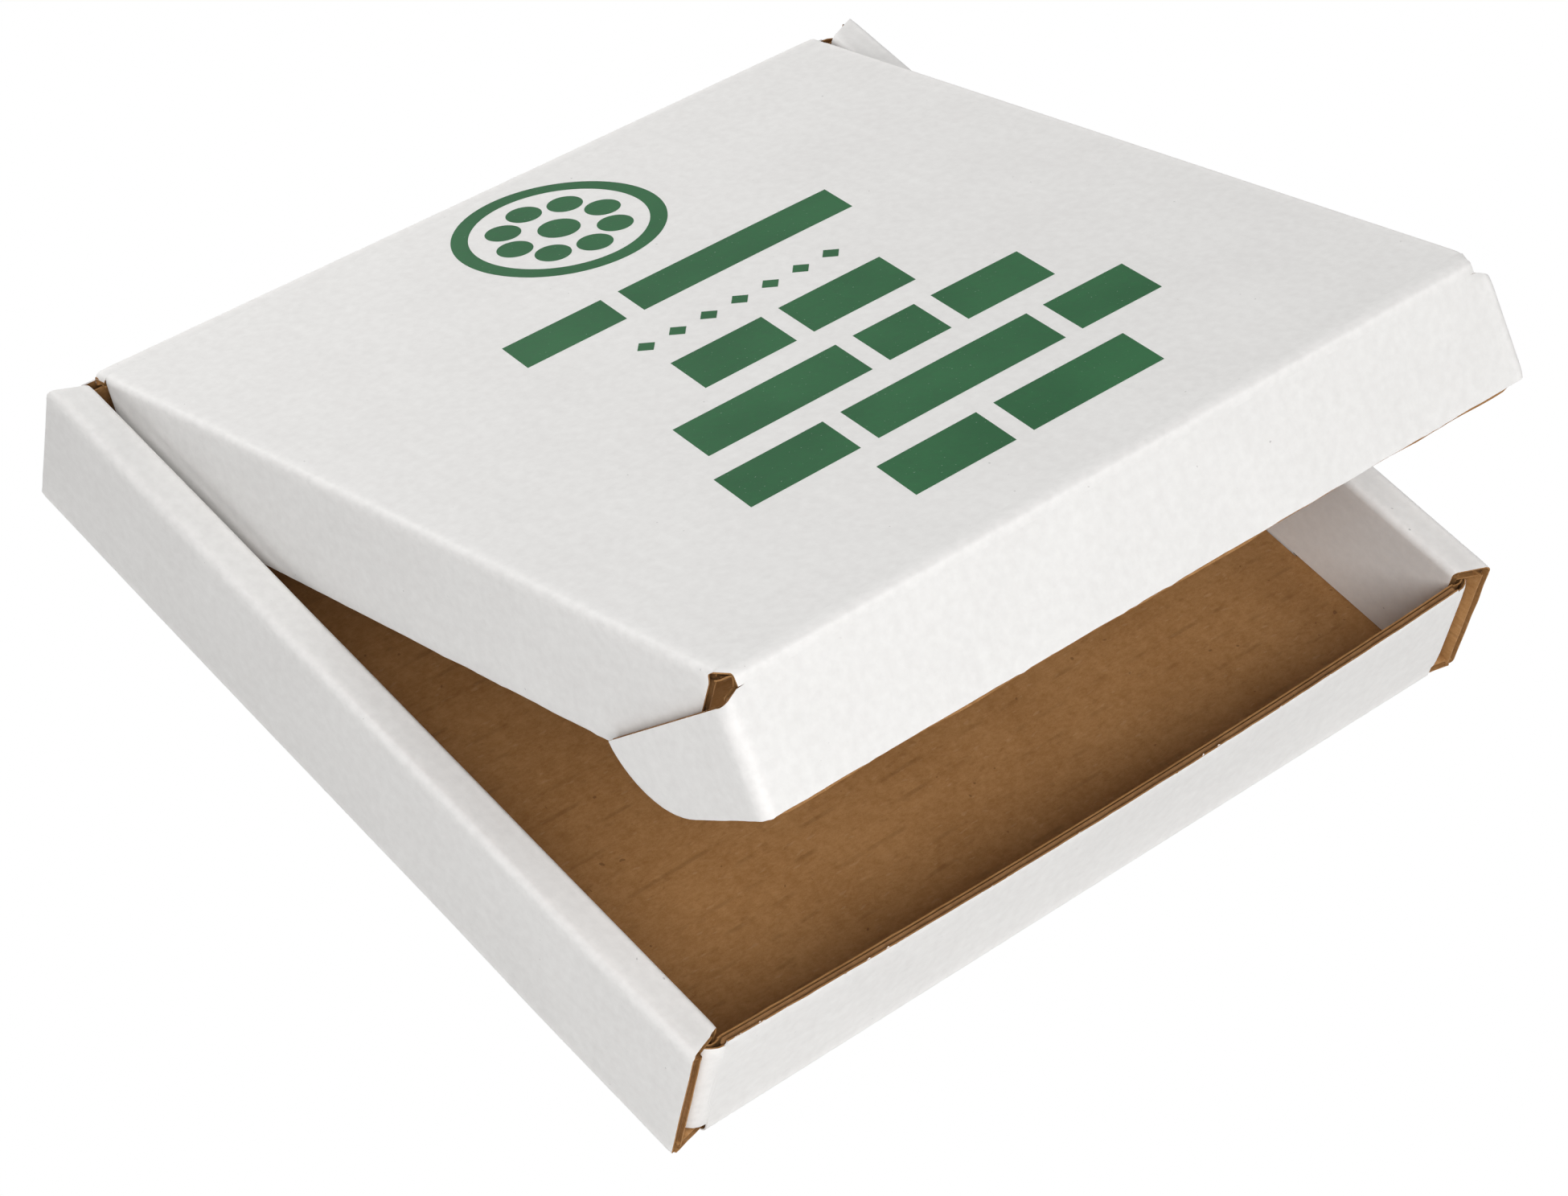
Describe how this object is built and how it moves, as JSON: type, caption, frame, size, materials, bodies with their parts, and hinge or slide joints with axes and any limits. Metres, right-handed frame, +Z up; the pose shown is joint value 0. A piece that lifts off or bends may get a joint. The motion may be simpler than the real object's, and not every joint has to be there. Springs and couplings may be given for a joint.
{
  "type": "tuck end box",
  "caption": "Shallow corrugated mailer box with rolled side walls and a hinged lid, part open, whose tuck flap folds in behind the front wall.",
  "frame": {"origin": "middle of the base, on the surface that the box stands on", "axes": "+X right along the front wall, +Y from the front wall to the hinge, +Z up"},
  "size_m": [0.24, 0.219, 0.1172],
  "materials": {
    "board": "matte white liner outside, kraft liner inside",
    "ink": "matte green flexo ink"
  },
  "bodies": {
    "tray": {"tray": "board"},
    "lid": {"lid": "board", "lid_print": "ink"},
    "tuck_flap": {"tuck_flap": "board"}
  },
  "joints": [
    {"name": "lid_hinge", "type": "hinge", "parent": "tray", "child": "lid", "pos_m": [0, 0.108, 0.0316], "axis": [-1, 0, 0], "range_deg": [-23.5, 76.5]},
    {"name": "flap_fold", "type": "hinge", "parent": "lid", "child": "tuck_flap", "pos_m": [0, -0.0855, 0.11574], "axis": [-1, 0, 0], "range_deg": [-30.6, 99.5]}
  ],
  "couplings": [
    {"joint": "flap_fold", "follows": "lid_hinge", "ratio": 1.3}
  ]
}
